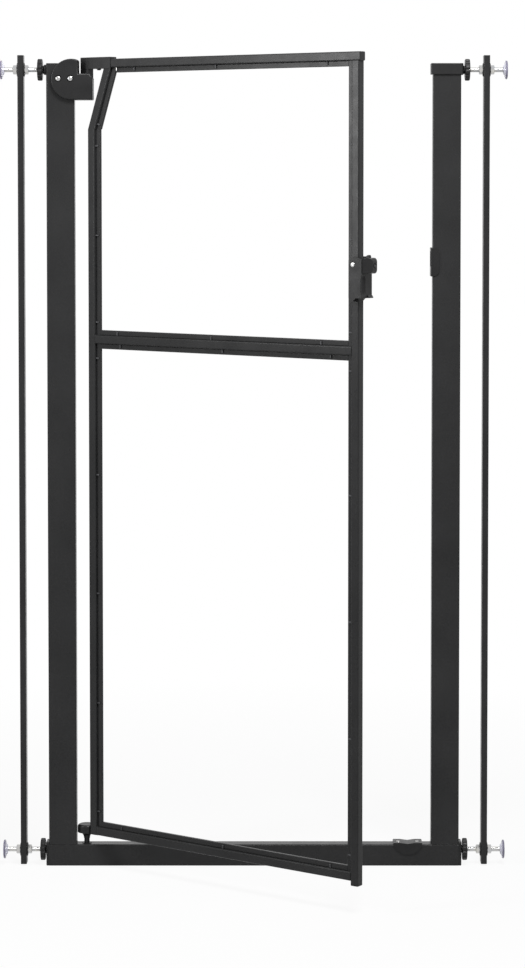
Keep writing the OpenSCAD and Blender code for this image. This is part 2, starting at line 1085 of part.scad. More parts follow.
module latch_screws() {
  color(zinc)
    on_door()
      for (s = [0, 1])
        mirror([0, s, 0])
          translate([u_out2 + dh, -housing_half + 1.6, latch_z + 1.5])
            pan_screw(4, 2.2, housing_half - 1.6 - tail_half - 0.6);
}

// ---- latch bolt ----

module latch_bolt() {
  h = bolt_h / 2;
  nose = 6.5;
  tip_half = bolt_half - 3.5;
  color(black)
    on_door()
      difference() {
        union() {
          // wedge for both ways of closing, round at the tip's corners
          intersection() {
            translate([0, block_half, latch_z])
              rotate([90, 0, 0])
                linear_extrude(2 * block_half)
                  union() {
                    translate([bolt_back, -h])
                      square([bolt_tip - bolt_back - nose, 2 * h]);
                    translate([bolt_back, nose - h])
                      square([bolt_tip - bolt_back, 2 * h - 2 * nose]);
                    for (z = [nose - h, h - nose])
                      translate([bolt_tip - nose, z])
                        circle(r = nose);
                  }
            translate([0, 0, latch_z - h - 1])
              linear_extrude(2 * h + 2)
                polygon([[bolt_back, -block_half],
                  [u_post - strike_t, -bolt_half], [bolt_tip, -tip_half],
                  [bolt_tip, tip_half], [u_post - strike_t, bolt_half],
                  [bolt_back, block_half]]);
          }
          box(tail_end, bolt_back + eps, -tail_half, tail_half,
            latch_z - tail_h / 2, latch_z + tail_h / 2);
        }
        rod_x(bolt_tip - 2, bolt_tip + 1, 3.8, latch_z);
      }
}

module thumb_tab() {
  color(black)
    on_door()
      translate([tab_u, 3.2, latch_z + bolt_h / 2])
        rotate([90, 0, 0])
          linear_extrude(6.4)
            polygon([[0, 0], [tab_l, 0], [tab_l, 3.5], [tab_l - 1, 4.5],
              [1.5, 4.5], [0, 3]]);
}

module bolt_pin() {
  color(zinc)
    on_door()
      rod_x(bolt_tip - 2, bolt_tip + 0.4, 2.4, latch_z);
}

left_post();
right_post();
threshold_bar();
left_end_cap();
right_end_cap();
left_post_cap();
right_post_cap();
rod_sleeves();
hinge_cover_front();
hinge_cover_rear();
hinge_screws();
closer_cartridge();
hinge_bush();
pivot_bush();
strike_plate();
lower_catch();
catch_screws();
left_side_bar();
left_bar_plugs();
left_rods();
left_nuts();
left_washers();
left_pads();
right_side_bar();
right_bar_plugs();
right_rods();
right_nuts();
right_washers();
right_pads();
left_upper_wheel();
left_lower_wheel();
right_upper_wheel();
right_lower_wheel();
hinge_stile();
slant_tube();
latch_stile();
top_rail();
mid_rail();
bottom_rail();
upper_side_strips();
upper_rail_strips();
slant_strip();
lower_side_strips();
lower_rail_strips();
upper_clips();
lower_clips();
hinge_bracket();
hinge_spindle();
pivot_block();
pivot_pin();
top_rail_plug();
foot_plug();
latch_housing_front();
latch_housing_rear();
latch_screws();
latch_bolt();
thumb_tab();
bolt_pin();
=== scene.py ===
import json
import math
import bmesh
import bpy
import numpy as np
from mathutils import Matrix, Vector


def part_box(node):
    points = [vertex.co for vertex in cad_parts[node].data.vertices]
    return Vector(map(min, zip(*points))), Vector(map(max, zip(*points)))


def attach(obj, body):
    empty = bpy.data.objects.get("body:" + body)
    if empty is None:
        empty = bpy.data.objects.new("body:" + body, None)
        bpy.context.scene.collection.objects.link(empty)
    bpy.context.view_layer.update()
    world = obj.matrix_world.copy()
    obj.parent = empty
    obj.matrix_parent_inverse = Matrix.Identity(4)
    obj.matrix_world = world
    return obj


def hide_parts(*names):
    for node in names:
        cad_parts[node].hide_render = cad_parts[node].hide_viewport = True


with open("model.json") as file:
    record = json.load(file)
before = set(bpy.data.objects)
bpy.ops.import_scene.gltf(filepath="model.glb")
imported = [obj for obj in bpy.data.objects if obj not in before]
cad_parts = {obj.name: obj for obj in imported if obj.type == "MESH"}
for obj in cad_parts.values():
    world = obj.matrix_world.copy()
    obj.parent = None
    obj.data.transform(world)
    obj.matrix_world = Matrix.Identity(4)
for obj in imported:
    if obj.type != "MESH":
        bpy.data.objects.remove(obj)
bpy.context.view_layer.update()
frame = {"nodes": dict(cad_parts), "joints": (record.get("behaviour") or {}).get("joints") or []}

# All sizes below are millimetres; buildMesh turns them into metres.
openAngle = math.radians(36.45)       # how far the door stands open in the model
hingeX = [j for j in frame["joints"] if j["name"] == "door_swing"][0]["pos_m"][0] * 1000
rodLevel = {"upper": 1314.5, "lower": 25.5}
sawnEdge = 0.02                       # what a cut end's rim loses


def corners(nodeName):
    # lowest and highest corner of a CAD node, in millimetres
    low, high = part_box(nodeName)
    return np.array(low) * 1000, np.array(high) * 1000


def asIs(points):
    return points


def onRight(points):
    # the left side's shape mirrored to the right
    return points * np.array([-1.0, 1.0, 1.0])


def onDoor(points):
    # x runs along the door from the hinge axis, y across it; the whole turns open about that axis
    c, s = math.cos(openAngle), math.sin(openAngle)
    x, y, z = points[..., 0], points[..., 1], points[..., 2]
    return np.stack([hingeX + x * c + y * s, y * c - x * s, z], -1)


def roundedOutline(wide, deep, radius, steps):
    # four quarter circles of the radius, joined by straight sides, counter-clockwise round the origin
    angle = np.arange(4)[:, None] * np.pi / 2 + np.linspace(0, np.pi / 2, steps + 1)
    side = np.array([[1, 1], [-1, 1], [-1, -1], [1, -1]]) * [wide / 2 - radius, deep / 2 - radius]
    x = side[:, :1] + radius * np.cos(angle)
    y = side[:, 1:] + radius * np.sin(angle)
    return np.stack([x, y], -1).reshape(-1, 2)


def insetBy(outline, distance):
    # each point moves inwards along the mean of its two sides' normals, stretched at the corner,
    # so that every side shifts by the same distance
    along = np.roll(outline, -1, 0) - outline
    along /= np.maximum(np.linalg.norm(along, axis=1, keepdims=True), 1e-9)
    normal = np.stack([along[:, 1], -along[:, 0]], -1)
    before = np.roll(normal, 1, 0)
    mitre = (normal + before) / np.maximum(1 + (normal * before).sum(1, keepdims=True), 0.3)
    return outline - distance * mitre


def roundedPrism(outline, low, high, edge, steps, highEdge=None):
    # the outline carried from low to high; at both ends its inset grows along a quarter circle of
    # the edge radius: inset = edge (1 - sin t), level = end +- edge (1 - cos t)
    highEdge = edge if highEdge is None else highEdge
    t = np.linspace(0, np.pi / 2, steps + 1)
    inset = np.concatenate([edge * (1 - np.sin(t)), highEdge * (1 - np.sin(t[::-1]))])
    level = np.concatenate([low + edge * (1 - np.cos(t)), high - highEdge * (1 - np.cos(t[::-1]))])
    rings = np.stack([insetBy(outline, i) for i in inset])
    heights = np.broadcast_to(level[:, None, None], rings.shape[:2] + (1,))
    return {"points": np.concatenate([rings, heights], -1), "caps": True, "loop": False}


def cutBar(wide, deep, corner, low, high, steps=6):
    # a rounded outline carried straight from low to high, its cut ends barely broken
    return roundedPrism(roundedOutline(wide, deep, corner, steps), low, high, sawnEdge, 1)


def turned(radii, levels, around, loop=False, scallop=None):
    # a profile of radius against level spun about the level axis; scallop(angle, row) takes some
    # of the radius away
    angle = np.linspace(0, 2 * np.pi, around, endpoint=False)
    radius = np.broadcast_to(np.array(radii, float)[:, None], (len(radii), around)).copy()
    if scallop is not None:
        radius -= scallop(angle[None, :], np.arange(len(radii))[:, None])
    height = np.broadcast_to(np.array(levels, float)[:, None], radius.shape)
    points = np.stack([radius * np.cos(angle), radius * np.sin(angle), height], -1)
    return {"points": points, "caps": not loop, "loop": loop}


def bore(radius, low, high, flare=0.0):
    # the cutter of a round hole along the level axis, wider by the flare at its high end
    return turned([radius, radius + flare], [low, high], 40)


def carried(surface, frameOf):
    # the same surface with its points put through a change of axes
    return {**surface, "points": frameOf(surface["points"])}


def levelToX(x0, y0, z0, flip=1):
    # the level axis lies along X
    return lambda p: np.stack([x0 + flip * p[..., 2], y0 + p[..., 0], z0 + p[..., 1]], -1)


def levelToY(x0, y0, z0, flip):
    # the level axis lies along Y; the outline stands in X and Z
    return lambda p: np.stack([x0 + p[..., 0], y0 + flip * p[..., 2], z0 + p[..., 1]], -1)


def levelToZ(x0, y0, z0, flip=1):
    # the level axis stays upright
    return lambda p: np.stack([x0 + p[..., 0], y0 + p[..., 1], z0 + flip * p[..., 2]], -1)


def surfaceFaces(rows, cols, loop, start):
    # quads between neighbouring points of a grid that is closed round its columns
    i, j = np.meshgrid(np.arange(rows if loop else rows - 1), np.arange(cols), indexing="ij")
    down, right = (i + 1) % rows, (j + 1) % cols
    quads = np.stack([i * cols + j, i * cols + right, down * cols + right, down * cols + j], -1)
    return quads.reshape(-1, 4) + start


def enclosedVolume(points, quads, rings):
    # sum of the tetrahedra from the origin to each face; below zero when the faces look inwards
    a, b, c, d = (points[quads[:, k]] for k in range(4))
    total = np.einsum("ij,ij->", a, np.cross(b, c)) + np.einsum("ij,ij->", a, np.cross(c, d))
    for ring in rings:
        p = points[ring]
        total += np.einsum("ij,ij->", p[:1].repeat(len(p) - 2, 0), np.cross(p[1:-1], p[2:]))
    return total


def buildMesh(name, surfaces, place):
    allPoints, allFaces, start = [], [], 0
    for surface in surfaces:
        grid = place(surface["points"])
        rows, cols = grid.shape[:2]
        points = grid.reshape(-1, 3)
        quads = surfaceFaces(rows, cols, surface["loop"], 0)
        rings = []
        if surface["caps"]:
            rings = [np.arange(cols)[::-1], np.arange(cols) + (rows - 1) * cols]
        centred = points - points.mean(0)
        if enclosedVolume(centred, quads, rings) < 0:
            quads, rings = quads[:, ::-1], [r[::-1] for r in rings]
        allPoints.append(points)
        allFaces += [tuple(f + start) for f in quads] + [tuple(r + start) for r in rings]
        start += len(points)
    mesh = bpy.data.meshes.new(name)
    mesh.from_pydata((np.concatenate(allPoints) / 1000).tolist(), [], allFaces)
    return mesh


def finishPiece(piece, body, nodeNames, slotName, smoothAngle=42):
    piece.data.materials.clear()
    piece.data.materials.append(finishes[slotName])
    piece.data.polygons.foreach_set("use_smooth", np.ones(len(piece.data.polygons), bool))
    piece.data.set_sharp_from_angle(angle=math.radians(smoothAngle))
    even = piece.modifiers.new("evenShading", "WEIGHTED_NORMAL")
    even.keep_sharp = True
    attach(piece, body)
    if nodeNames:
        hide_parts(*nodeNames)
    return piece


def makePiece(name, surfaces, body, nodeNames, slotName, place=asIs, cutters=(), smoothAngle=42):
    piece = bpy.data.objects.new(name, buildMesh(name, surfaces, place))
    bpy.context.scene.collection.objects.link(piece)
    if cutters:
        carve(piece, [buildMesh("cutter", [c], place) for c in cutters])
    return finishPiece(piece, body, nodeNames, slotName, smoothAngle)


def bakeModifiers(piece):
    graph = bpy.context.evaluated_depsgraph_get()
    mesh = bpy.data.meshes.new_from_object(piece.evaluated_get(graph))
    piece.modifiers.clear()
    piece.data = mesh


def carve(piece, cutterMeshes):
    # every cutter is taken out of the piece by an exact boolean, then thrown away
    tools = []
    for mesh in cutterMeshes:
        tool = bpy.data.objects.new("cutter", mesh)
        bpy.context.scene.collection.objects.link(tool)
        cut = piece.modifiers.new("cut", "BOOLEAN")
        cut.operation, cut.solver, cut.object = "DIFFERENCE", "EXACT", tool
        tools.append(tool)
    bakeModifiers(piece)
    for tool in tools:
        bpy.data.objects.remove(tool)


softening = {"mergeWithin": 2e-6, "flatWithin": 0.6, "edgeAngle": 32, "smoothAngle": 50}  # metres, degrees


def softenedNode(nodeName, body, edge, segments):
    # a merged copy of a moulded CAD node whose edges get a small round; its faces stay where they are
    mesh = frame["nodes"][nodeName].data.copy()
    work = bmesh.new()
    work.from_mesh(mesh)
    bmesh.ops.remove_doubles(work, verts=work.verts, dist=softening["mergeWithin"])
    bmesh.ops.dissolve_limit(work, angle_limit=math.radians(softening["flatWithin"]),
                             verts=work.verts, edges=work.edges)
    work.to_mesh(mesh)
    work.free()
    piece = bpy.data.objects.new(nodeName + "_moulded", mesh)
    bpy.context.scene.collection.objects.link(piece)
    piece.data.polygons.foreach_set("use_smooth", np.ones(len(mesh.polygons), bool))
    soft = piece.modifiers.new("softEdges", "BEVEL")
    soft.width, soft.segments, soft.limit_method = edge / 1000, segments, "ANGLE"
    soft.angle_limit, soft.use_clamp_overlap = math.radians(softening["edgeAngle"]), True
    bakeModifiers(piece)
    return finishPiece(piece, body, [nodeName], "black_plastic", softening["smoothAngle"])


weldBead = {"ripple": 0.12, "rippleLength": 1.6, "step": 0.4, "around": 10, "tip": 0.02}


def weldSeam(start, end, radius):
    # a round bead along a line: its radius swells and sinks as a sine of the way along, and within
    # one radius of each end it closes as a quarter circle
    start, end = np.array(start, float), np.array(end, float)
    length = np.linalg.norm(end - start)
    along = (end - start) / length
    side = np.cross(along, [0.3, 0.5, 0.81])      # any direction that no seam runs in
    side /= np.linalg.norm(side)
    other = np.cross(along, side)
    s = np.linspace(0, 1, max(int(length / weldBead["step"]), 8))
    wave = np.sin(2 * np.pi * s * length / weldBead["rippleLength"])
    swell = radius * (1 + weldBead["ripple"] * wave)
    inside = np.minimum(s, 1 - s) * length / radius
    swell *= np.sqrt(np.clip(1 - (1 - np.minimum(inside, 1)) ** 2, weldBead["tip"], 1))
    angle = np.linspace(0, 2 * np.pi, weldBead["around"], endpoint=False)
    ring = np.cos(angle)[:, None] * side + np.sin(angle)[:, None] * other
    points = (start + s[:, None] * (end - start))[:, None, :] + swell[:, None, None] * ring
    return {"points": points, "caps": True, "loop": False}


def nodeSet(name):
    material = bpy.data.materials.new(name)
    material.use_nodes = True
    tree = material.node_tree
    shader = tree.nodes["Principled BSDF"]
    place = tree.nodes.new("ShaderNodeTexCoord")
    return material, tree, shader, place


def noise(tree, place, scale, detail, stretch=None, rough=0.5):
    texture = tree.nodes.new("ShaderNodeTexNoise")
    texture.inputs["Scale"].default_value = scale
    texture.inputs["Detail"].default_value = detail
    texture.inputs["Roughness"].default_value = rough
    source = place.outputs["Object"]
    if stretch is not None:
        mapping = tree.nodes.new("ShaderNodeMapping")
        mapping.inputs["Scale"].default_value = stretch
        tree.links.new(source, mapping.inputs["Vector"])
        source = mapping.outputs["Vector"]
    tree.links.new(source, texture.inputs["Vector"])
    return texture.outputs["Fac"]


def cells(tree, place, scale):
    texture = tree.nodes.new("ShaderNodeTexVoronoi")
    texture.inputs["Scale"].default_value = scale
    tree.links.new(place.outputs["Object"], texture.inputs["Vector"])
    return texture.outputs["Distance"]


def ramp(tree, factor, stops):
    mix = tree.nodes.new("ShaderNodeValToRGB")
    while len(mix.color_ramp.elements) < len(stops):
        mix.color_ramp.elements.new(0.5)
    for element, (position, colour) in zip(mix.color_ramp.elements, stops):
        element.position = position
        element.color = (*colour, 1)
    tree.links.new(factor, mix.inputs["Fac"])
    return mix.outputs["Color"]


def mapRange(tree, factor, low, high, fromLow=0.3, fromHigh=0.7):
    change = tree.nodes.new("ShaderNodeMapRange")
    change.inputs["From Min"].default_value = fromLow
    change.inputs["From Max"].default_value = fromHigh
    change.inputs["To Min"].default_value = low
    change.inputs["To Max"].default_value = high
    tree.links.new(factor, change.inputs["Value"])
    return change.outputs["Result"]


def bump(tree, shader, height, depth, strength, under=None):
    bumps = tree.nodes.new("ShaderNodeBump")
    bumps.inputs["Distance"].default_value = depth / 1000
    bumps.inputs["Strength"].default_value = strength
    tree.links.new(height, bumps.inputs["Height"])
    if under is not None:
        tree.links.new(under, bumps.inputs["Normal"])
    tree.links.new(bumps.outputs["Normal"], shader.inputs["Normal"])
    return bumps.outputs["Normal"]


def maths(tree, operation, first, second=0.0):
    step = tree.nodes.new("ShaderNodeMath")
    step.operation = operation
    for socket, value in zip(step.inputs, (first, second)):
        if isinstance(value, float):
            socket.default_value = value
        else:
            tree.links.new(value, socket)
    return step.outputs[0]


def paint(tree, shader, pattern, stops):
    tree.links.new(ramp(tree, pattern, stops), shader.inputs["Base Color"])


def polish(tree, shader, pattern, look):
    tree.links.new(mapRange(tree, pattern, *look["gloss"]), shader.inputs["Roughness"])


# In every look the clouds and other patterns count their waves to the metre, depths are
# millimetres, and gloss is the roughness of the smoothest and the dullest spots.
coatLook = {
    "dark": (0.0165, 0.0166, 0.017), "light": (0.0235, 0.0236, 0.0241),  # charcoal, from low to high spots
    "cloud": 9.0,
    "gloss": (0.24, 0.33), "patch": 45.0,
    "sheen": 0.16,                 # how strongly the surface mirrors, against 0.5 for plain plastic
    "peelSize": 3.2,               # millimetres from one dimple of the orange peel to the next
    "peelDepth": 0.035,
    "grit": 2600.0, "gritDepth": 0.012,
}


def charcoalCoat():
    material, tree, shader, place = nodeSet("charcoal_powder_coat")
    cloud = noise(tree, place, coatLook["cloud"], 4.0)
    paint(tree, shader, cloud, [(0.32, coatLook["dark"]), (0.68, coatLook["light"])])
    polish(tree, shader, noise(tree, place, coatLook["patch"], 3.0), coatLook)
    peel = noise(tree, place, 1000 / coatLook["peelSize"], 1.5)
    first = bump(tree, shader, peel, coatLook["peelDepth"], 0.5)
    grit = noise(tree, place, coatLook["grit"], 2.0)
    bump(tree, shader, grit, coatLook["gritDepth"], 0.35, first)
    shader.inputs["Specular IOR Level"].default_value = coatLook["sheen"]
    return material


plasticLook = {
    "dark": (0.0105, 0.0105, 0.0108), "light": (0.0155, 0.0155, 0.0159), "cloud": 22.0,
    "gloss": (0.3, 0.42), "patch": 70.0,
    "sheen": 0.2,
    "grainSize": 0.55,             # millimetres across one grain of the mould's etched texture
    "grainDepth": 0.02,
    "scuff": (0.024, 0.024, 0.025), "scratches": 60.0, "scratchStretch": (1.0, 1.0, 9.0),
    "scuffShare": 0.55,            # how much of the scuff colour the deepest scratch takes
}


def blackPlastic():
    material, tree, shader, place = nodeSet("black_moulded_plastic")
    cloud = noise(tree, place, plasticLook["cloud"], 3.0)
    body = ramp(tree, cloud, [(0.3, plasticLook["dark"]), (0.7, plasticLook["light"])])
    scratch = noise(tree, place, plasticLook["scratches"], 5.0, plasticLook["scratchStretch"], 0.75)
    where = mapRange(tree, scratch, 0.0, plasticLook["scuffShare"], 0.62, 0.74)
    mix = tree.nodes.new("ShaderNodeMix")
    mix.data_type = "RGBA"
    tree.links.new(where, mix.inputs["Factor"])
    tree.links.new(body, mix.inputs["A"])
    mix.inputs["B"].default_value = (*plasticLook["scuff"], 1)
    tree.links.new(mix.outputs["Result"], shader.inputs["Base Color"])
    polish(tree, shader, noise(tree, place, plasticLook["patch"], 3.0), plasticLook)
    grain = cells(tree, place, 1000 / plasticLook["grainSize"])
    bump(tree, shader, grain, plasticLook["grainDepth"], 0.6)
    shader.inputs["Specular IOR Level"].default_value = plasticLook["sheen"]
    return material


zincLook = {
    "cool": (0.46, 0.47, 0.49), "warm": (0.56, 0.55, 0.52),     # the plate's faint blue and straw tints
    "tint": 120.0,
    "gloss": (0.16, 0.26), "spangle": 420.0,
    "lines": 700.0, "lineStretch": (0.15, 1.0, 1.0), "lineDepth": 0.006,    # from drawing and turning
}


def brightZinc():
    material, tree, shader, place = nodeSet("bright_zinc_plate")
    tint = noise(tree, place, zincLook["tint"], 3.0)
    paint(tree, shader, tint, [(0.3, zincLook["cool"]), (0.7, zincLook["warm"])])
    shader.inputs["Metallic"].default_value = 1.0
    polish(tree, shader, noise(tree, place, zincLook["spangle"], 3.0), zincLook)
    lines = noise(tree, place, zincLook["lines"], 2.0, zincLook["lineStretch"])
    bump(tree, shader, lines, zincLook["lineDepth"], 0.4)
    return material


padLook = {
    # the rim colour is painted shade: the darkening seen through the clear rim, put into the base colour
    "socket": (0.42, 0.41, 0.6), "pale": (0.82, 0.82, 0.93), "rim": (0.2, 0.19, 0.27),
    "reach": 0.0162,               # metres from the pad's axis to where the painted rim shade ends
    "axes": (0.67, 0.6445),        # metres: the middle height, and how far the pads lie above and below it
    "cloud": 90.0, "waver": 0.0012,
    "gloss": (0.16, 0.28),
    "glow": 0.2,                   # share of light that passes into the pad
    "bend": 1.46,                  # index of refraction
    "grain": 900.0, "grainDepth": 0.006,
}


def milkyPlastic():
    # clear plastic looks darker where it is seen through its rim, painted here as shade in the colour, and
    # bluer over
    #     # the thick socket: the tint and the painted rim shade follow the distance from the pad's own axis
    material, tree, shader, place = nodeSet("milky_pad_plastic")
    apart = tree.nodes.new("ShaderNodeSeparateXYZ")
    tree.links.new(place.outputs["Object"], apart.inputs[0])
    above = maths(tree, "ABSOLUTE", maths(tree, "SUBTRACT", apart.outputs["Z"], padLook["axes"][0]))
    up = maths(tree, "SUBTRACT", above, padLook["axes"][1])
    away = maths(tree, "SQRT", maths(tree, "ADD", maths(tree, "MULTIPLY", up, up),
                                     maths(tree, "MULTIPLY", apart.outputs["Y"], apart.outputs["Y"])))
    cloud = noise(tree, place, padLook["cloud"], 3.0)
    wavy = maths(tree, "ADD", away, maths(tree, "MULTIPLY", cloud, padLook["waver"]))
    share = mapRange(tree, wavy, 0.0, 1.0, 0.0, padLook["reach"])
    # the last stop is the painted rim shade
    paint(tree, shader, share, [(0.35, padLook["socket"]), (0.58, padLook["pale"]),
                                (0.84, padLook["pale"]), (0.97, padLook["rim"])])
    polish(tree, shader, cloud, padLook)
    shader.inputs["Transmission Weight"].default_value = padLook["glow"]
    shader.inputs["IOR"].default_value = padLook["bend"]
    bump(tree, shader, noise(tree, place, padLook["grain"], 2.0), padLook["grainDepth"], 0.3)
    return material


rubberLook = {"dark": (0.012, 0.012, 0.012), "light": (0.02, 0.02, 0.02), "cloud": 160.0,
              "gloss": (0.7, 0.85), "grain": 1800.0, "grainDepth": 0.03}


def blackRubber():
    material, tree, shader, place = nodeSet("black_rubber")
    cloud = noise(tree, place, rubberLook["cloud"], 4.0)
    paint(tree, shader, cloud, [(0.3, rubberLook["dark"]), (0.7, rubberLook["light"])])
    polish(tree, shader, cloud, rubberLook)
    bump(tree, shader, noise(tree, place, rubberLook["grain"], 3.0), rubberLook["grainDepth"], 0.5)
    return material


dullLook = {"dark": (0.035, 0.035, 0.037), "light": (0.075, 0.076, 0.08), "blotch": 380.0,
            "metal": 0.6, "gloss": (0.42, 0.6), "grain": 1500.0, "grainDepth": 0.01}


def dullPlate():
    material, tree, shader, place = nodeSet("dull_phosphated_steel")
    blotch = noise(tree, place, dullLook["blotch"], 4.0)
    paint(tree, shader, blotch, [(0.32, dullLook["dark"]), (0.68, dullLook["light"])])
    shader.inputs["Metallic"].default_value = dullLook["metal"]
    polish(tree, shader, blotch, dullLook)
    bump(tree, shader, noise(tree, place, dullLook["grain"], 2.0), dullLook["grainDepth"], 0.4)
    return material


finishes = {"powder_coat": charcoalCoat(), "black_plastic": blackPlastic(), "zinc_steel": brightZinc(),
            "dull_steel": dullPlate(), "pad_plastic": milkyPlastic(), "rubber": blackRubber()}
print("materials made")


post = {"wide": 46.0, "deep": 25.0, "corner": 2.4, "inner": 293.0}
postHeight = {"left": corners("left_post")[1][2], "right": corners("right_post")[1][2]}
inX, outX, face = post["inner"], post["inner"] + post["wide"], post["deep"] / 2
postX = -inX - post["wide"] / 2      # the left post's middle
threshold = {"high": 36.0, "half": outX, "corner": 2.4}
foot = threshold["high"]             # the posts stand on the threshold


def postTube(top):
    return [carried(cutBar(post["wide"], post["deep"], post["corner"], foot, top, 8), levelToZ(postX, 0, 0))]


pocket = {"halfDeep": 10.8, "low": 992.0, "high": 1018.0, "corner": 1.0, "proud": 3.0, "reach": 18.0}
pocketCut = carried(cutBar(2 * pocket["halfDeep"], pocket["high"] - pocket["low"], pocket["corner"],
                           -pocket["proud"], pocket["reach"], 3),
                    levelToX(-inX, 0, (pocket["low"] + pocket["high"]) / 2, -1))
makePiece("left_post_tube", postTube(postHeight["left"]), "frame", ["left_post"], "powder_coat")
makePiece("right_post_tube", postTube(postHeight["right"]), "frame", ["right_post"], "powder_coat",
          onRight, [pocketCut])
thresholdBar = cutBar(post["deep"], threshold["high"], threshold["corner"],
                      -threshold["half"], threshold["half"], 8)
makePiece("threshold_tube", [carried(thresholdBar, levelToX(0, 0, threshold["high"] / 2))],
          "frame", ["threshold_bar"], "powder_coat")

# at each post's foot: one seam across the doorway side, and a finer one along the front and back
footWeld = {"radius": 0.9, "endGap": 2.2, "fineRadius": 0.45, "fineGap": 2.4, "sunk": 0.25}
seamEnd, fineY = face - footWeld["endGap"], face - footWeld["sunk"]
fineOut, fineIn = -outX + footWeld["fineGap"], -inX - footWeld["fineGap"]
footSeams = [weldSeam((-inX, -seamEnd, foot), (-inX, seamEnd, foot), footWeld["radius"])]
footSeams += [weldSeam((fineOut, y, foot), (fineIn, y, foot), footWeld["fineRadius"])
              for y in (-fineY, fineY)]
sides = (("left", asIs), ("right", onRight))
for side, place in sides:
    makePiece(side + "_foot_weld", footSeams, "frame", [], "powder_coat", place)

endCap = {"thick": 4.6, "high": 40.0, "corner": 3.0, "backEdge": 0.2, "edge": 1.2, "bore": 7.05}
endCapShape = roundedPrism(roundedOutline(post["deep"], endCap["high"], endCap["corner"], 6),
                           0, endCap["thick"], endCap["backEdge"], 4, endCap["edge"])
endCapShape = [carried(endCapShape, levelToX(-outX, 0, endCap["high"] / 2, -1))]
endCapBore = [carried(bore(endCap["bore"], -1, endCap["thick"] + 1),
                      levelToX(-outX, 0, rodLevel["lower"], -1))]
for side, place in sides:
    makePiece(side + "_end_cap_moulded", endCapShape, "frame", [side + "_end_cap"], "black_plastic", place,
              endCapBore)

lid = {"thick": 2.0, "underEdge": 0.15, "edge": 1.0}
sleeveCap = {"lip": 3.3, "high": 18.0, "corner": 3.2, "underEdge": 0.5, "edge": 0.9,
             "bore": 8.7, "boreFrom": 4.0, "boreDeep": 8.0}
top = corners("left_post_cap")[1][2]
lidShape = roundedPrism(roundedOutline(post["wide"], post["deep"], post["corner"], 8),
                        top - lid["thick"], top, lid["underEdge"], 4, lid["edge"])
makePiece("left_post_lid", [carried(lidShape, levelToZ(postX, 0, 0))],
          "frame", ["left_post_cap"], "powder_coat")
sleeveWide, sleeveDeep = post["wide"] + 2 * sleeveCap["lip"], post["deep"] + 2 * sleeveCap["lip"]
sleeveShape = roundedPrism(roundedOutline(sleeveWide, sleeveDeep, sleeveCap["corner"], 8),
                           top - sleeveCap["high"], top, sleeveCap["underEdge"], 4, sleeveCap["edge"])
sleeveBore = carried(bore(sleeveCap["bore"], -1, sleeveCap["boreDeep"]),
                     levelToX(-outX - sleeveCap["boreFrom"], 0, rodLevel["upper"]))
makePiece("right_post_sleeve_cap", [carried(sleeveShape, levelToZ(postX, 0, 0))],
          "frame", ["right_post_cap"], "black_plastic", onRight, [sleeveBore])
print("posts, threshold and caps made")


cover = {"x": -297.5, "z": 1298.5, "radius": 33.5, "flat": -286.3, "flatRound": 3.0, "thick": 7.0,
         "backEdge": 0.1, "edge": 2.4, "wellRadius": 5.2, "wellFlare": 0.5, "wellDepth": 2.2}
block = {"right": -262.6, "low": 1265.0, "core": 1299.2, "slopeEnd": 1300.0, "top": 1308.0, "slope": 5.5,
         "corner": 3.0, "edge": 1.0, "near": 0.15, "far": 13.6}
knuckleRoom = {"left": -286.2, "right": -258.0, "front": 15.8, "high": 1312.0, "corner": 0.4}
spindleWell = {"radius": 11.0, "low": 1268.0, "high": 1309.0}
hingeScrew = {"x": (-318.9, -299.2), "z": 1299.8, "headRadius": 4.1, "headHigh": 2.4}


def arc(x, z, radius, start, end, steps):
    # points on a circle about a point, from the start angle to the end angle
    angle = np.linspace(start, end, steps)
    return np.stack([x + radius * np.cos(angle), z + radius * np.sin(angle)], -1)


def coverOutline():
    # clockwise from the underside: up the circle's left side and over its top, round onto the flat
    # edge, down to the block's face plate, along its top and slope, and round its lower corner
    inner = cover["radius"] - cover["flatRound"]
    roundX = cover["flat"] - cover["flatRound"]
    meet = math.acos((roundX - cover["x"]) / inner)
    circle = arc(cover["x"], cover["z"], cover["radius"], -np.pi / 2, meet - 2 * np.pi, 66)
    ontoFlat = arc(roundX, cover["z"] + inner * math.sin(meet), cover["flatRound"], meet, 0, 6)[1:]
    plate = [[cover["flat"], block["top"]], [block["right"] - block["slope"], block["top"]],
             [block["right"], block["slopeEnd"]]]
    r = block["corner"]
    lowCorner = arc(block["right"] - r, block["low"] + r, r, 0, -np.pi / 2, 6)
    return np.concatenate([circle, ontoFlat, plate, lowCorner])[::-1]


def slab(left, right, low, high, near, far, corner):
    # a block with small rounded corners, standing between two depths in front of the gate's middle
    shape = roundedPrism(roundedOutline(right - left, high - low, corner, 3), near, far, 0.05, 1)
    return carried(shape, levelToY((left + right) / 2, 0, (low + high) / 2, -1))


coverFace = carried(roundedPrism(coverOutline(), 0.0, cover["thick"], cover["backEdge"], 5, cover["edge"]),
                    levelToY(0, -face, 0, -1))
blockShape = slab(-inX, block["right"], block["low"], block["core"], block["near"], block["far"],
                  block["edge"])
wells = [carried(bore(cover["wellRadius"], -cover["wellDepth"], 1.0, cover["wellFlare"]),
                 levelToY(x, -face - cover["thick"], hingeScrew["z"], -1)) for x in hingeScrew["x"]]
roomCut = slab(knuckleRoom["left"], knuckleRoom["right"], block["core"], knuckleRoom["high"], face - 1,
               knuckleRoom["front"], knuckleRoom["corner"])
wellCut = carried(bore(spindleWell["radius"], spindleWell["low"], spindleWell["high"]),
                  levelToZ(hingeX, 0, 0))


def toBack(points):
    # the front's shape mirrored to the back
    return points * np.array([1.0, -1.0, 1.0])


def joined(pieces):
    # several loose pieces become the first one's mesh
    work = bmesh.new()
    for piece in pieces:
        work.from_mesh(piece.data)
    work.to_mesh(pieces[0].data)
    work.free()
    for piece in pieces[1:]:
        bpy.data.objects.remove(piece)
    return pieces[0]


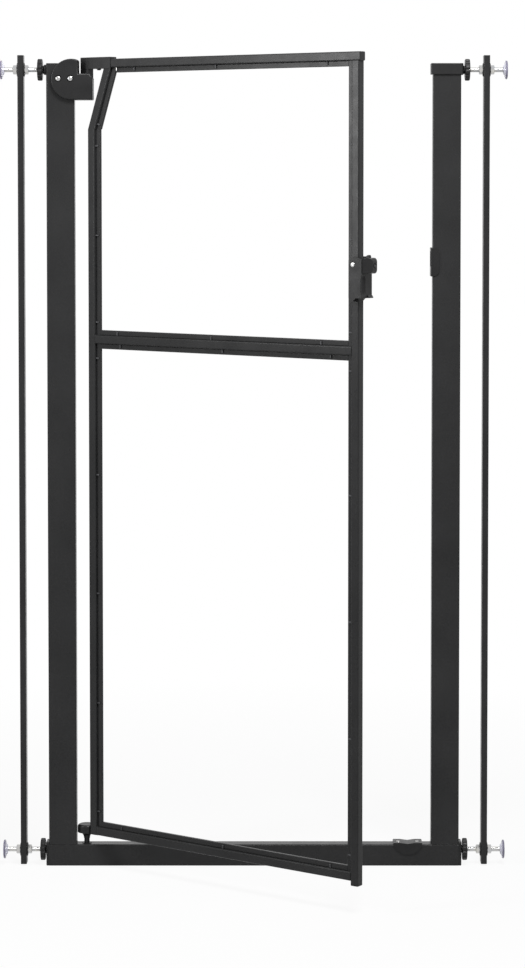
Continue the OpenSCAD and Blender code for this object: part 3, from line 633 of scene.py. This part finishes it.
def hingeCover(name, nodeName, place):
    # the disc with its face plate is carved first, the block behind it apart, then both are joined
    parts = []
    for shape, cuts in ((coverFace, wells + [roomCut]), (blockShape, [wellCut])):
        part = bpy.data.objects.new(name, buildMesh(name, [shape], place))
        bpy.context.scene.collection.objects.link(part)
        carve(part, [buildMesh("cutter", [c], place) for c in cuts])
        parts.append(part)
    return finishPiece(joined(parts), "frame", [nodeName], "black_plastic")


hingeCover("hinge_cover_front_moulded", "hinge_cover_front", asIs)
hingeCover("hinge_cover_rear_moulded", "hinge_cover_rear", toBack)

# a screw's head and its cross, as shares of the head's radius and height
screw = {"out": (1.0, 1.0, 0.97, 0.9, 0.75, 0.5, 0.25, 0.04),
         "up": (0.0, 0.42, 0.58, 0.74, 0.88, 0.96, 0.995, 1.0),
         "crossLong": 1.15, "crossWide": 0.26, "crossCorner": 0.1, "crossFloor": 0.35}


def screwHead(radius, high):
    # an upright rim under a low dome, spun about the screw's axis
    return turned(np.array(screw["out"]) * radius, np.array(screw["up"]) * high, 40)


def crossRecess(radius, high):
    # two narrow bars across the head, from the recess's floor to above the dome
    long, wide = screw["crossLong"] * radius, screw["crossWide"] * radius
    return [cutBar(a, b, screw["crossCorner"] * radius, high * screw["crossFloor"], high + 1, 2)
            for a, b in ((long, wide), (wide, long))]


def screwPiece(name, body, nodeNames, spots, radius, high, place=asIs):
    heads, cuts = [], []
    for frameOf in spots:
        heads.append(carried(screwHead(radius, high), frameOf))
        cuts += [carried(c, frameOf) for c in crossRecess(radius, high)]
    return makePiece(name, heads, body, nodeNames, "zinc_steel", place, cuts)


screwFace = -face - cover["thick"] + cover["wellDepth"]
screwPiece("hinge_screw_heads", "frame", ["hinge_screws"],
           [levelToY(x, s * screwFace, hingeScrew["z"], -s) for x in hingeScrew["x"] for s in (1, -1)],
           hingeScrew["headRadius"], hingeScrew["headHigh"])
softenedNode("hinge_bracket", "door", edge=0.8, segments=3)
softenedNode("pivot_block", "door", edge=0.5, segments=2)
print("hinge made")


softenedNode("strike_plate", "frame", edge=0.6, segments=3)
softenedNode("lower_catch", "frame", edge=0.5, segments=2)
catchScrew = {"x": (239.1, 270.5), "z": 37.8, "headRadius": 3.5, "headHigh": 1.6}
screwPiece("catch_screw_heads", "frame", ["catch_screws"],
           [levelToZ(x, 0, catchScrew["z"]) for x in catchScrew["x"]],
           catchScrew["headRadius"], catchScrew["headHigh"])
print("strike and catch made")


sideBar = {"x": -381.0, "wide": 10.0, "deep": 25.0, "corner": 2.2, "low": 4.5, "top": 1336.5}
barPlug = {"thick": 1.5, "underEdge": 0.1, "edge": 0.5}
rod = {"radius": 4.0, "pitch": 1.25, "depth": 0.2, "flank": 1.25, "crest": 0.12, "rows": 6, "around": 18,
       "outer": -412.0, "inner": -314.0, "bevel": 1.0}
nut = {"flats": 13.0, "thick": 6.5, "around": 72, "bore": 4.3, "boreLead": 0.4, "coneInset": 0.25,
       "coneSlope": 1.75}
washer = {"thick": 1.2, "radius": 11.0, "edge": 0.3, "bore": 4.0}
pad = {"outer": -415.0, "radius": 15.5}
wheel = {"inner": -345.5, "radius": 18.0, "thick": 8.0, "hub": 6.5, "bore": 4.05,
         "lobes": 12, "scallop": 1.7, "scallopDeep": 3.0, "sharpness": 7}

barShape = cutBar(sideBar["wide"], sideBar["deep"], sideBar["corner"], sideBar["low"], sideBar["top"])
plugShape = roundedPrism(roundedOutline(sideBar["wide"], sideBar["deep"], sideBar["corner"], 6),
                         0, barPlug["thick"], barPlug["underEdge"], 3, barPlug["edge"])
barTube = [carried(barShape, levelToZ(sideBar["x"], 0, 0))]
barPlugs = [carried(plugShape, levelToZ(sideBar["x"], 0, z, flip))
            for z, flip in ((sideBar["top"], 1), (sideBar["low"], -1))]


def threadedRod(z):
    # the radius falls to the root as the distance from the helix, half a pitch at most, grows:
    # depth times the triangle wave of level / pitch - angle / turn; both ends are bevelled
    rows = int((rod["inner"] - rod["outer"]) / rod["pitch"] * rod["rows"])
    level = np.linspace(rod["outer"], rod["inner"], rows)
    angle = np.linspace(0, 2 * np.pi, rod["around"], endpoint=False)
    phase = level[:, None] / rod["pitch"] - angle[None, :] / (2 * np.pi)
    wave = np.abs(2 * (phase - np.floor(phase)) - 1)
    radius = rod["radius"] - rod["depth"] * np.clip(rod["flank"] * wave - rod["crest"], 0, 1)
    end = np.minimum(level - rod["outer"], rod["inner"] - level)
    radius = np.minimum(radius, rod["radius"] - rod["bevel"] + np.clip(end, 0, rod["bevel"])[:, None])
    points = np.stack([np.broadcast_to(level[:, None], radius.shape), radius * np.cos(angle),
                       z + radius * np.sin(angle)], -1)
    return {"points": points, "caps": True, "loop": False}


def hexNut(x, z):
    # a hexagon's radius, which is half the flats over the cosine of the angle from the flat's
    # middle, cut at both ends by a cone that starts just inside the flats; then back through the bore
    angle = np.linspace(0, 2 * np.pi, nut["around"], endpoint=False)
    flat, t = nut["flats"] / 2, nut["thick"]
    hexagon = flat / np.cos(np.mod(angle + np.pi / 6, np.pi / 3) - np.pi / 6)
    outer = np.array([0.0, 0.25, 0.6, 1.0, t - 1.0, t - 0.6, t - 0.25, t])
    cone = flat - nut["coneInset"] + nut["coneSlope"] * np.minimum(outer, t - outer)
    outside = np.minimum(hexagon[None, :], cone[:, None])
    mouth, lead = np.full((1, nut["around"]), nut["bore"]), nut["boreLead"]
    radius = np.concatenate([mouth - lead, mouth, outside, mouth, mouth - lead])
    level = np.concatenate([[lead, 0.0], outer, [t, t - lead]])
    points = np.stack([radius * np.cos(angle), radius * np.sin(angle),
                       np.broadcast_to(level[:, None], radius.shape)], -1)
    return carried({"points": points, "caps": False, "loop": True}, levelToX(x, 0, z))


def washerRing(x, z):
    # a flat ring whose outer rim is broken by the edge, spun about the rod
    r, t, e = washer["radius"], washer["thick"], washer["edge"]
    ring = turned([washer["bore"], r - e, r, r, r - e, washer["bore"]], [0, 0, e, t - e, t, t], 48, True)
    return carried(ring, levelToX(x, 0, z))


def wallPad(z):
    # radius and level from the wall: flat face with a shallow ring, a rim rounded both ways, then
    # the socket's cone
    r = pad["radius"]
    profile = [(0.3, 0), (9.0, 0), (9.4, 0.5), (10.6, 0.5), (11.0, 0), (r - 1.7, 0), (r - 0.8, 0.3),
               (r - 0.25, 0.95), (r, 1.8), (r - 0.15, 2.5), (r - 0.7, 3.2), (r - 1.6, 3.65), (r - 3.2, 4.15),
               (10.6, 4.7), (9.0, 5.2), (8.2, 5.6), (8.0, 6.0), (7.6, 6.5), (5.2, 6.5), (4.2, 6.1)]
    return carried(turned(*zip(*profile), 64), levelToX(pad["outer"], 0, z))


def handWheel(z):
    # radius and level from the inner face: hub, face, rim, outer face, its dish and the hub again;
    # the rim's radius dips by the scallop at each lobe, as the cosine's seventh power does
    t, r, h, hole = wheel["thick"], wheel["radius"], wheel["hub"], wheel["bore"]
    profile = [(hole, -1.1), (h - 0.4, -1.1), (h, -0.8), (h, 0), (h + 0.4, 0), (r - 2.2, 0), (r - 1.4, 0.15),
               (r - 0.5, 0.6), (r, 1.5), (r, t - 1.5), (r - 0.5, t - 0.6), (r - 1.4, t - 0.15), (r - 2.6, t),
               (13.3, t), (12.7, t - 0.5), (12.2, t - 2.0), (7.6, t - 2.0), (7.0, t - 0.6), (6.6, t),
               (4.9, t), (hole, t - 0.7)]
    radii, levels = np.array(profile).T
    share = np.clip((radii - (r - wheel["scallopDeep"])) / wheel["scallopDeep"], 0, 1)[:, None]

    def dip(angle, row):
        wave = np.abs(np.cos(wheel["lobes"] * angle / 2)) ** wheel["sharpness"]
        return wheel["scallop"] * wave * share[row[:, 0]]

    return carried(turned(radii, levels, 144, True, dip), levelToX(wheel["inner"], 0, z, -1))


# what each tube face meets, outwards on both sides: a washer, then a nut
barFace = sideBar["wide"] / 2
washerX = (sideBar["x"] - barFace - washer["thick"], sideBar["x"] + barFace)
nutX = (sideBar["x"] - barFace - washer["thick"] - nut["thick"], sideBar["x"] + barFace + washer["thick"])
for side, place in sides:
    body = side + "_bar"
    levels = rodLevel.values()
    makePiece(side + "_bar_tube", barTube, body, [side + "_side_bar"], "powder_coat", place)
    makePiece(side + "_bar_end_plugs", barPlugs, body, [side + "_bar_plugs"], "black_plastic", place)
    makePiece(side + "_threaded_rods", [threadedRod(z) for z in levels],
              body, [side + "_rods"], "zinc_steel", place, smoothAngle=60)
    makePiece(side + "_hex_nuts", [hexNut(x, z) for z in levels for x in nutX],
              body, [side + "_nuts"], "zinc_steel", place, smoothAngle=30)
    makePiece(side + "_rubber_washers", [washerRing(x, z) for z in levels for x in washerX],
              body, [side + "_washers"], "rubber", place)
    makePiece(side + "_wall_pads", [wallPad(z) for z in levels], body, [side + "_pads"], "pad_plastic", place)
    for height, z in rodLevel.items():
        makePiece(f"{side}_{height}_hand_wheel", [handWheel(z)], f"{side}_{height}_wheel",
                  [f"{side}_{height}_wheel"], "black_plastic", place, smoothAngle=50)
print("side bars, rods and wheels made")


door = {"tube": 14.0, "corner": 1.9, "low": 53.5, "top": 1331.0, "mid": 874.0, "bend": 1217.0, "foot": 46.0,
        "hingeFace": 12.0, "latchFace": 550.4, "topStart": 16.0, "leanIn": 33.7, "armLow": 1315.5}
strip = {"wide": 8.4, "deep": 5.0, "corner": 0.9, "cornerGap": 1.0}
plug = {"topThick": 2.0, "topEdge": 0.9, "footThick": 4.0, "footEdge": 1.6, "backEdge": 0.05}
tube = door["tube"]
hingeIn, latchIn = door["hingeFace"] + tube, door["latchFace"] - tube
hingeMid, latchMid = door["hingeFace"] + tube / 2, door["latchFace"] - tube / 2
railTop, railLow = door["top"] - tube, door["low"]
midLow, midHigh = door["mid"] - tube / 2, door["mid"] + tube / 2
lean = door["leanIn"] / (door["armLow"] - door["bend"])
leanWide = math.sqrt(1 + lean * lean)      # a leaning bar's level width, as a share of its own
slantIn = door["hingeFace"] + tube * leanWide
stripWide, halfStrip = strip["wide"], strip["wide"] / 2
cornerX = door["hingeFace"] + door["leanIn"] + (tube + stripWide) * leanWide + strip["cornerGap"]


def doorPiece(name, surfaces, nodeNames, slotName="powder_coat"):
    return makePiece(name, surfaces, "door", nodeNames, slotName, onDoor)


def upright(x, low, high):
    return carried(cutBar(tube, tube, door["corner"], low, high), levelToZ(x, 0, 0))


def rail(z, start, end):
    return carried(cutBar(tube, tube, door["corner"], start, end), levelToX(0, 0, z))


def sideStrip(x, low, high):
    return carried(cutBar(stripWide, strip["deep"], strip["corner"], low, high), levelToZ(x, 0, 0))


def railStrip(z, start, end):
    return carried(cutBar(strip["deep"], stripWide, strip["corner"], start, end), levelToX(0, 0, z))


def leaning(x, wide, deep, corner):
    # an upright bar between the bend and the arm's end, whose level sections slide sideways by the
    # lean for every millimetre of height
    bar = cutBar(wide * leanWide, deep, corner, door["bend"], door["armLow"])
    along, across, height = np.moveaxis(bar["points"], -1, 0)
    return {**bar, "points": np.stack([along + x + lean * (height - door["bend"]), across, height], -1)}


doorPiece("hinge_stile_tube", [upright(hingeMid, railLow, door["bend"])], ["hinge_stile"])
doorPiece("leaning_corner_tube",
          [leaning(door["hingeFace"] + tube * leanWide / 2, tube, tube, door["corner"])], ["slant_tube"])
doorPiece("latch_stile_tube", [upright(latchMid, door["foot"] + plug["footThick"], railTop)], ["latch_stile"])
doorPiece("top_rail_tube", [rail(railTop + tube / 2, door["topStart"], door["latchFace"])], ["top_rail"])
doorPiece("mid_rail_tube", [rail(door["mid"], hingeIn, latchIn)], ["mid_rail"])
doorPiece("bottom_rail_tube", [rail(railLow + tube / 2, hingeIn, latchIn)], ["bottom_rail"])

doorPiece("upper_side_strip_bars",
          [sideStrip(hingeIn + halfStrip, midHigh, door["bend"]),
           sideStrip(latchIn - halfStrip, midHigh, railTop)], ["upper_side_strips"])
doorPiece("upper_rail_strip_bars",
          [railStrip(midHigh + halfStrip, hingeIn + stripWide, latchIn - stripWide),
           railStrip(railTop - halfStrip, cornerX, latchIn - stripWide)], ["upper_rail_strips"])
doorPiece("leaning_corner_strip",
          [leaning(slantIn + stripWide * leanWide / 2, stripWide, strip["deep"], strip["corner"])],
          ["slant_strip"])
doorPiece("lower_side_strip_bars",
          [sideStrip(x, railLow + tube, midLow) for x in (hingeIn + halfStrip, latchIn - halfStrip)],
          ["lower_side_strips"])
doorPiece("lower_rail_strip_bars",
          [railStrip(z, hingeIn + stripWide, latchIn - stripWide)
           for z in (railLow + tube + halfStrip, midLow - halfStrip)], ["lower_rail_strips"])
print("door tubes and strips made")


# where the clips sit is a share of the opening's height or width
clip = {"long": 6.0, "wide": 2.6, "thick": 2.2, "corner": 0.7, "backEdge": 0.05, "edge": 0.8,
        "upperSides": (0.063, 0.485, 0.92), "lowerSides": (0.032, 0.258, 0.485, 0.73, 0.97),
        "topRail": (0.1605, 0.485, 0.907), "midRail": (0.088, 0.465, 0.885), "lowRail": (0.1, 0.51, 0.921),
        "aboveBend": 9.0, "slantGap": 0.3, "pastCorner": 0.6}
halfClip = clip["long"] / 2


def stripClip(x, z, wide, high, turn=0.0):
    # a small tab with rounded corners, its front edges rounded over and its back on the strip
    shape = roundedPrism(roundedOutline(wide, high, clip["corner"], 3), strip["deep"] / 2,
                         strip["deep"] / 2 + clip["thick"], clip["backEdge"], 4, clip["edge"])
    c, s = math.cos(turn), math.sin(turn)
    p = shape["points"]
    p = np.stack([p[..., 0] * c + p[..., 1] * s, p[..., 1] * c - p[..., 0] * s, p[..., 2]], -1)
    return carried({**shape, "points": p}, levelToY(x, 0, z, -1))


def sideClips(low, high, shares):
    return [stripClip(x, low + share * (high - low), clip["long"], clip["wide"])
            for share in shares for x in (hingeIn + halfClip, latchIn - halfClip)]


def railClips(z, shares):
    return [stripClip(hingeIn + share * (latchIn - hingeIn), z, clip["wide"], clip["long"])
            for share in shares]


leanAngle, slantReach = math.atan(lean), halfClip + clip["slantGap"]
slantClip = stripClip(slantIn + lean * clip["aboveBend"] + slantReach * math.cos(leanAngle),
                      door["bend"] + clip["aboveBend"] - slantReach * math.sin(leanAngle),
                      clip["long"], clip["wide"], leanAngle)
doorPiece("upper_strip_clips",
          sideClips(midHigh, door["bend"], clip["upperSides"]) +
          railClips(midHigh + halfClip, clip["midRail"]) +
          railClips(railTop - halfClip, clip["topRail"]) + [slantClip], ["upper_clips"], "dull_steel")
doorPiece("corner_clip",
          [stripClip(cornerX + clip["pastCorner"], railTop - halfClip, clip["wide"], clip["long"])],
          [], "zinc_steel")
doorPiece("lower_strip_clips",
          sideClips(railLow + tube, midLow, clip["lowerSides"]) +
          railClips(railLow + tube + halfClip, clip["lowRail"]) +
          railClips(midLow - halfClip, clip["lowRail"]), ["lower_clips"], "dull_steel")


def tubePlug(thick, edge):
    return roundedPrism(roundedOutline(tube, tube, door["corner"], 6), 0, thick, plug["backEdge"], 4, edge)


doorPiece("top_rail_end_plug",
          [carried(tubePlug(plug["topThick"], plug["topEdge"]),
                   levelToX(door["latchFace"], 0, railTop + tube / 2))],
          ["top_rail_plug"], "black_plastic")
doorPiece("foot_end_plug",
          [carried(tubePlug(plug["footThick"], plug["footEdge"]),
                   levelToZ(latchMid, 0, door["foot"] + plug["footThick"], -1))],
          ["foot_plug"], "black_plastic")

doorWeld = {"radius": 0.8}


def crossSeam(x, z):
    # the bead in an inside corner, running through the door's thickness
    half = tube / 2 - door["corner"]
    return weldSeam((x, -half, z), (x, half, z), doorWeld["radius"])


beads = [crossSeam(x, z) for x in (hingeIn, latchIn) for z in (railLow, railLow + tube, midLow, midHigh)]
beads += [crossSeam(latchIn, railTop)]
beads += [crossSeam(x, door["bend"]) for x in (hingeIn, door["hingeFace"])]
doorPiece("door_weld_beads", beads, [])
print("clips, plugs and welds made")


softenedNode("latch_housing_front", "door", edge=0.7, segments=3)
softenedNode("latch_housing_rear", "door", edge=0.7, segments=3)
softenedNode("latch_bolt", "bolt", edge=0.8, segments=3)
latchScrew = {"x": 543.4, "z": 1006.5, "face": 12.6, "headRadius": 4.0, "headHigh": 2.2}
screwPiece("latch_screw_heads", "door", ["latch_screws"],
           [levelToY(latchScrew["x"], -s * latchScrew["face"], latchScrew["z"], -s) for s in (1, -1)],
           latchScrew["headRadius"], latchScrew["headHigh"], onDoor)

tab = {"start": 561.0, "long": 5.5, "half": 3.2, "low": 1017.0, "high": 4.5, "rootShare": 0.68, "slope": 0.7,
       "ridges": 3, "ridgeDepth": 0.28, "endLeast": 0.7, "endPower": 14, "roundness": 0.35}


def thumbTab():
    # along the tab its height climbs to the full one, loses a cosine wave for the ridges and falls
    # off at both ends as a high power does; across, it is a circle whose sine and cosine are raised
    # to a small power, which squares it
    s = np.linspace(0, 1, 25)
    rise = tab["high"] * np.clip(tab["rootShare"] + tab["slope"] * s, 0, 1)
    rise -= tab["ridgeDepth"] * (0.5 - 0.5 * np.cos(2 * np.pi * tab["ridges"] * s))
    rise *= np.clip(np.sqrt(np.clip(1 - np.abs(2 * s - 1) ** tab["endPower"], 0.0, 1)), tab["endLeast"], 1)
    angle = np.linspace(0, np.pi, 13)
    across = tab["half"] * np.sign(np.cos(angle)) * np.abs(np.cos(angle)) ** tab["roundness"]
    lift = np.abs(np.sin(angle)) ** tab["roundness"]
    x = np.broadcast_to((tab["start"] + s * tab["long"])[:, None], (25, 13))
    y = np.broadcast_to(across[None, :], (25, 13))
    z = tab["low"] + rise[:, None] * lift[None, :]
    return {"points": np.stack([x, y, z], -1), "caps": True, "loop": False}


makePiece("ridged_thumb_tab", [thumbTab()], "bolt", ["thumb_tab"], "black_plastic", onDoor, smoothAngle=50)
print("latch made")

# CAD solids that stay as they are get the same finishes
stays = {"rod_sleeves": "black_plastic", "pivot_bush": "black_plastic", "hinge_bush": "black_plastic",
         "closer_cartridge": "zinc_steel", "hinge_spindle": "zinc_steel", "pivot_pin": "black_plastic",
         "bolt_pin": "dull_steel"}
for nodeName, slotName in stays.items():
    mesh = frame["nodes"][nodeName].data
    mesh.materials.clear()
    mesh.materials.append(finishes[slotName])


def seenRay(tree):
    # one for a ray that shows the surface: straight from the camera, mirrored or through glass
    rays = tree.nodes.new("ShaderNodeLightPath").outputs
    either = maths(tree, "MAXIMUM", rays["Is Camera Ray"], rays["Is Glossy Ray"])
    return maths(tree, "MAXIMUM", either, rays["Is Transmission Ray"])


# metres: the floor's own white grows from a share at the near distance to all of it at the far one
stage = {"size": 40.0, "paper": (0.8, 0.8, 0.8), "ownLight": 0.92, "near": 0.55, "far": 1.7, "roomFill": 0.12}


def whiteStage():
    # the floor shows the camera its own even white, mixed near the object with a little of its lit
    # paper, which carries the object's shadow
    mesh = bpy.data.meshes.new("floor")
    half = stage["size"] / 2
    spots = [(-half, -half, 0), (half, -half, 0), (half, half, 0), (-half, half, 0)]
    mesh.from_pydata(spots, [], [(0, 1, 2, 3)])
    floor = bpy.data.objects.new("floor", mesh)
    bpy.context.scene.collection.objects.link(floor)
    material, tree, shader, place = nodeSet("white_floor")
    tree.nodes.remove(shader)
    paper, glow = tree.nodes.new("ShaderNodeBsdfDiffuse"), tree.nodes.new("ShaderNodeEmission")
    paper.inputs["Color"].default_value = (*stage["paper"], 1)
    away = tree.nodes.new("ShaderNodeVectorMath")
    away.operation = "LENGTH"
    tree.links.new(place.outputs["Object"], away.inputs[0])
    own = mapRange(tree, away.outputs["Value"], stage["ownLight"], 1.0, stage["near"], stage["far"])
    mix = tree.nodes.new("ShaderNodeMixShader")
    tree.links.new(maths(tree, "MULTIPLY", seenRay(tree), own), mix.inputs["Fac"])
    tree.links.new(paper.outputs[0], mix.inputs[1])
    tree.links.new(glow.outputs[0], mix.inputs[2])
    tree.links.new(mix.outputs[0], tree.nodes["Material Output"].inputs["Surface"])
    mesh.materials.append(material)


def whiteRoom():
    # the room is white to look at and lights the object with the fill alone
    world = bpy.data.worlds.new("white_room")
    bpy.context.scene.world = world
    world.use_nodes = True
    tree = world.node_tree
    back = tree.nodes["Background"]
    strength = mapRange(tree, seenRay(tree), stage["roomFill"], 1.0, 0.0, 1.0)
    tree.links.new(strength, back.inputs["Strength"])
    back.inputs["Color"].default_value = (1, 1, 1, 1)


# metres and watts
lights = [
    {"name": "left", "at": (-1.9, -1.08, 1.56), "aim": (0.16, -0.33, 1.3), "size": (0.42, 1.2), "power": 25},
    {"name": "front", "at": (0.45, -1.5, 2.8), "aim": (0.05, -0.1, 1.25), "size": (0.9, 0.9), "power": 74},
    {"name": "back", "at": (0.4, 2.8, 3.0), "aim": (0, 0, 0.9), "size": (2.4, 2.4), "power": 8},
]
for lamp in lights:
    data = bpy.data.lights.new(lamp["name"], "AREA")
    data.shape, data.energy = "RECTANGLE", lamp["power"]
    data.size, data.size_y = lamp["size"]
    item = bpy.data.objects.new(lamp["name"], data)
    item.location = lamp["at"]
    item.rotation_euler = (Vector(lamp["aim"]) - item.location).to_track_quat("-Z", "Y").to_euler()
    bpy.context.scene.collection.objects.link(item)

whiteStage()
whiteRoom()

# metres, the lens and sensor in millimetres, the downward tilt in degrees, shifts in picture heights
view = {"at": (0.0226, -4.6529, 1.1480), "lens": 70.28, "sensor": 24.0, "tilt": 3.0,
        "shiftX": -0.0052, "shiftY": -0.1691}
cameraData = bpy.data.cameras.new("camera")
cameraData.sensor_fit = "VERTICAL"
cameraData.sensor_height = view["sensor"]
cameraData.lens = view["lens"]
cameraData.shift_x, cameraData.shift_y = view["shiftX"], view["shiftY"]
camera = bpy.data.objects.new("camera", cameraData)
camera.location = view["at"]
camera.rotation_euler = (math.radians(90 - view["tilt"]), 0, 0)
bpy.context.scene.collection.objects.link(camera)
bpy.context.scene.camera = camera
bpy.context.scene.view_settings.view_transform = "Standard"
print("stage, lights and camera set")

bpy.context.view_layer.update()
